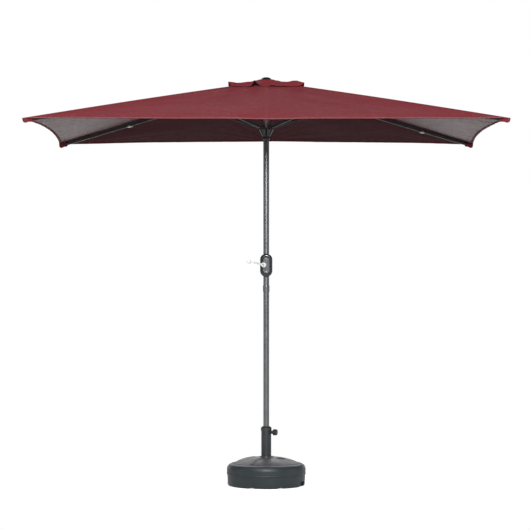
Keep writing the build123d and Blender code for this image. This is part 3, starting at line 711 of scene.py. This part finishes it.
# how far the cap's rim stands off the canopy, in mm, along each panel from its first rib to its second
RIM_LIFT = {
    "left_front": ((0, 30), (0.08, 7), (0.48, 7), (0.60, 10), (0.685, 44), (0.78, 26), (0.88, 8),
                   (0.95, 3), (1, 3)),
    "middle_front": ((0, 3), (0.06, 9), (0.13, 17), (0.40, 9), (0.62, 4), (0.80, 4), (0.92, 9), (1, 26)),
    "right_front": ((0, 26), (0.12, 14), (0.50, 18), (0.85, 12), (1, 18)),
    "right_back": ((0, 18), (0.30, 8), (0.60, 18), (0.80, 9), (1, 8)),
    "middle_back": ((0, 8), (0.25, 16), (0.50, 8), (0.80, 14), (1, 24)),
    "left_back": ((0, 24), (0.20, 22), (0.50, 24), (0.85, 27), (1, 30)),
}
# how far the cap stands off the canopy's apex, in mm, from the pole out
CAP_PROFILE = ((0.08, 12), (0.16, 9), (0.28, 1), (0.44, -10), (0.62, -15), (0.80, -22), (1.0, -34))
CAP_COLUMNS = 40
CAP_ROWS = 44
CAP_INNER = 0.115
CAP_CLOTH = 0.9 * MM
CAP_CLEARANCE = 3.2 * MM
CROWN_RINGS = 8
CROWN_TURNS = 48


def hump(value, centre, width):
    return math.exp(-((value - centre) / width) ** 2)


def cap_point(panel, s, out):
    """A place on the vent cap. OUT runs from 0 at the pole to 1 at the rim."""
    share = CAP_SHARE * out
    edge = panel.start.lerp(panel.end, s)
    place = APEX.lerp(edge, share)
    under = APEX.lerp(panel.hem(s), share).z + RIDGE_BOW * math.sin(math.pi * share)
    body = APEX.z + smooth_list(CAP_PROFILE, out) * MM
    rim = APEX.lerp(edge, CAP_SHARE).z + smooth_list(RIM_LIFT[panel.a], s) * MM
    height = body + (rim - body) * eased((out - 0.42) / 0.58)
    for name, at in ((panel.a, s), (panel.b, 1 - s)):
        if name.startswith("right"):
            height += 17 * MM * hump(out, 0.77, 0.17) * hump(at, 0.0, 0.33)
        if name == "left_front":
            height += 5 * MM * hump(out, 0.95, 0.12) * hump(at, 0.0, 0.10)
    spread = min(1.0, max(0.0, (out - 0.15) / 0.3))
    height += spread * noise.noise((place.x * 16, place.y * 16, 3.3)) * 3.5 * MM
    height += spread * noise.noise((place.x * 45, place.y * 45, 8.1)) * 1.2 * MM
    if share > VENT_SHARE - 0.012:
        height = max(height, under + CAP_CLEARANCE)
    place.z = height
    return place


def cap_half(panel, rib, s_rib, half):
    """Half of one side of the vent cap, which stays with its rib."""
    columns = columns_of(panel, s_rib, CAP_COLUMNS)
    rows = [CAP_INNER + (1 - CAP_INNER) * i / CAP_ROWS for i in range(CAP_ROWS + 1)]
    places = [[cap_point(panel, s, out) for s in columns] for out in rows]
    normals = []
    for i, line in enumerate(places):
        ups = []
        for k in range(len(line)):
            across = line[min(k + 1, len(line) - 1)] - line[max(k - 1, 0)]
            out = places[min(i + 1, len(places) - 1)][k] - places[max(i - 1, 0)][k]
            up = across.cross(out).normalized()
            ups.append(up if up.z > 0 else -up)
        normals.append(ups)
    size = CAP_SHARE * panel.length
    uvs = [[(s * size, (1 - out) * 0.24) for s in columns] for out in rows]
    build = Builder()
    build.sheet(places, normals, uvs, CAP_CLOTH, (0, 1, 2))
    piece = build.make(f"vent_flap_{rib}_{half}", [MATERIALS["canopy_cloth"], CLOTH_UNDER_PAINTED_SHADE, HEM_CLOTH_PAINTED_HIGHLIGHT])
    ride_rib(piece, rib)
    flatten_with(piece)
    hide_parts("vent_cap")
    wide = size * abs(panel.middle - s_rib)
    flat = (wide + SHEET_ALLOWANCE, CAP_SHARE * panel.height() + SHEET_ALLOWANCE)


for panel in PANELS:
    for rib, s_rib, half in panel.halves():
        cap_half(panel, rib, s_rib, half)


def locate(turn):
    """The panel at an azimuth, and how far along it that lies."""
    for panel in PANELS:
        gap = (azimuth(panel.b) - azimuth(panel.a)) % (2 * math.pi)
        if (turn - azimuth(panel.a)) % (2 * math.pi) <= gap:
            normal = Vector((-math.sin(turn), math.cos(turn), 0.0))
            one, two = panel.start.dot(normal), panel.end.dot(normal)
            return panel, min(1.0, max(0.0, one / (one - two)))
    return PANELS[0], 0.0


def cap_crown():
    """The cloth pinched under the finial, which stays with the pole when the ribs fold."""
    build = Builder()
    places, normals, uvs = [], [], []
    for r in range(CROWN_RINGS):
        radius = (9 + 35 * r / (CROWN_RINGS - 1)) * MM
        line = []
        for k in range(CROWN_TURNS + 1):
            turn = 2 * math.pi * k / CROWN_TURNS
            panel, s = locate(turn)
            edge = (panel.start.lerp(panel.end, s) - APEX).to_2d().length * CAP_SHARE
            place = cap_point(panel, s, max(0.02, radius / edge))
            line.append(Vector((radius * math.cos(turn), radius * math.sin(turn), place.z + 1.2 * MM)))
        places.append(line)
        normals.append([Vector((0, 0, 1))] * (CROWN_TURNS + 1))
        uvs.append([(k * 0.005, 0.1 + r * 0.005) for k in range(CROWN_TURNS + 1)])
    build.sheet(places, normals, uvs, CAP_CLOTH, (0, 0, 0))
    piece = build.make("vent_crown", [MATERIALS["canopy_cloth"]])
    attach(piece, "upper_mast")


cap_crown()

# ---- crank housing's inlay --------------------------------------------------------------------

INLAY_BACK = 40.5 * MM
INLAY_HALF_WIDTH = 20.0 * MM
INLAY_HALF_STRAIGHT = 31.0 * MM
INLAY_SUNK = 1.0 * MM
INLAY_STEPS = 26
INLAY_TURNS = 64
# painted reflection: the oval plate is a lighter grey than the housing around it, for the front light it reflects
INLAY_PAINTED_REFLECTION = coated("inlay_painted_reflection", (0.075, 0.076, 0.082), (0.115, 0.116, 0.122), (0.26, 0.40), 160.0, 0.0006,
               blotch=40.0, Specular_IOR_Level=0.6)


def housing_inlay():
    """The crowned oval plate on the front of the crank housing, with raised rings round it."""
    low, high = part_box("crank_housing_front")
    centre = Vector((0.0, -INLAY_BACK, (low[2] + high[2]) / 2))
    rings = []
    for step in range(INLAY_STEPS + 1):
        inset = INLAY_HALF_WIDTH * (step / INLAY_STEPS) * 0.95
        share = inset / INLAY_HALF_WIDTH
        crown = (0.3 + 2.6 * (1 - (1 - share) ** 2) + 0.45 * math.sin(share * 2 * math.pi * 3.0)) * MM
        ring = []
        for k in range(INLAY_TURNS):
            turn = 2 * math.pi * (k + 0.5) / INLAY_TURNS
            x = (INLAY_HALF_WIDTH - inset) * math.cos(turn)
            z = (INLAY_HALF_WIDTH - inset) * math.sin(turn)
            z += math.copysign(INLAY_HALF_STRAIGHT, math.sin(turn))
            ring.append(centre + Vector((x, -crown, z)))
        rings.append(ring)
    build = Builder()
    back_ring = [Vector((p.x, -INLAY_BACK + INLAY_SUNK, p.z)) for p in rings[0]]
    build.tube([back_ring] + rings)
    piece = build.make("housing_inlay", [INLAY_PAINTED_REFLECTION], crease=60.0)
    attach(piece, "upper_mast")


housing_inlay()

# ---- lift cord --------------------------------------------------------------------------------


CORD_STEPS = 120
CORD_TURNS = 18
CORD_STRANDS = 3
CORD_LAY = 12 * MM


def lift_cord():
    """The outer run of the lift cord, three strands laid together, from the pulley to the runner."""
    low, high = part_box("lift_cord_outer")
    centre = Vector(((low[0] + high[0]) / 2, (low[1] + high[1]) / 2, 0.0))
    radius = (high[0] - low[0]) / 2
    rings = []
    for i in range(CORD_STEPS + 1):
        z = high[2] + (low[2] - high[2]) * i / CORD_STEPS
        ring = []
        for k in range(CORD_TURNS):
            turn = 2 * math.pi * k / CORD_TURNS
            strand = 0.5 + 0.5 * math.cos(CORD_STRANDS * (turn - 2 * math.pi * z / CORD_LAY))
            r = radius * (0.80 + 0.20 * strand)
            ring.append(centre + Vector((r * math.cos(turn), r * math.sin(turn), z)))
        rings.append(ring)
    build = Builder()
    build.tube(rings)
    piece = build.make("lift_cord_run", [MATERIALS["cord"]], crease=80.0)
    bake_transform(piece)
    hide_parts("lift_cord_outer")


lift_cord()

# ---- floor ------------------------------------------------------------------------------------

FLOOR_HALF_SIZE = 40.0
FLOOR_GLOW = 0.55
GLOW_FADES_FROM = 0.5
GLOW_FADES_TO = 1.8


def floor_material():
    """White paper. Seen directly, it glows, so that it is as white as the surround and only the soft shadow
    near the base shows on it. From below it is clear."""
    material = bpy.data.materials.new("floor_paper")
    material.use_nodes = True
    tree = material.node_tree
    tree.nodes.clear()
    make = tree.nodes.new
    out = make("ShaderNodeOutputMaterial")
    paper = make("ShaderNodeBsdfDiffuse")
    paper.inputs["Color"].default_value = (0.8, 0.8, 0.8, 1.0)
    faint = make("ShaderNodeEmission")
    faint.inputs["Strength"].default_value = FLOOR_GLOW
    white = make("ShaderNodeEmission")
    white.inputs["Strength"].default_value = 1.0
    near = make("ShaderNodeAddShader")
    tree.links.new(paper.outputs[0], near.inputs[0])
    tree.links.new(faint.outputs[0], near.inputs[1])
    coordinates = make("ShaderNodeTexCoord")
    away = make("ShaderNodeVectorMath")
    away.operation = "LENGTH"
    tree.links.new(coordinates.outputs["Object"], away.inputs[0])
    fade = make("ShaderNodeMapRange")
    fade.interpolation_type = "SMOOTHSTEP"
    fade.inputs["From Min"].default_value = GLOW_FADES_FROM
    fade.inputs["From Max"].default_value = GLOW_FADES_TO
    tree.links.new(away.outputs["Value"], fade.inputs["Value"])
    seen = make("ShaderNodeMixShader")
    tree.links.new(fade.outputs[0], seen.inputs[0])
    tree.links.new(near.outputs[0], seen.inputs[1])
    tree.links.new(white.outputs[0], seen.inputs[2])
    path = make("ShaderNodeLightPath")
    both = make("ShaderNodeMixShader")
    tree.links.new(path.outputs["Is Camera Ray"], both.inputs[0])
    tree.links.new(paper.outputs[0], both.inputs[1])
    tree.links.new(seen.outputs[0], both.inputs[2])
    geometry = make("ShaderNodeNewGeometry")
    clear = make("ShaderNodeBsdfTransparent")
    one_sided = make("ShaderNodeMixShader")
    tree.links.new(geometry.outputs["Backfacing"], one_sided.inputs[0])
    tree.links.new(both.outputs[0], one_sided.inputs[1])
    tree.links.new(clear.outputs[0], one_sided.inputs[2])
    tree.links.new(one_sided.outputs[0], out.inputs["Surface"])
    return material


def make_floor():
    mesh = bpy.data.meshes.new("floor")
    size = FLOOR_HALF_SIZE
    corners = [(-size, -size, 0), (size, -size, 0), (size, size, 0), (-size, size, 0)]
    mesh.from_pydata(corners, [], [(0, 1, 2, 3)])
    floor = bpy.data.objects.new("floor", mesh)
    mesh.materials.append(floor_material())
    bpy.context.scene.collection.objects.link(floor)


make_floor()
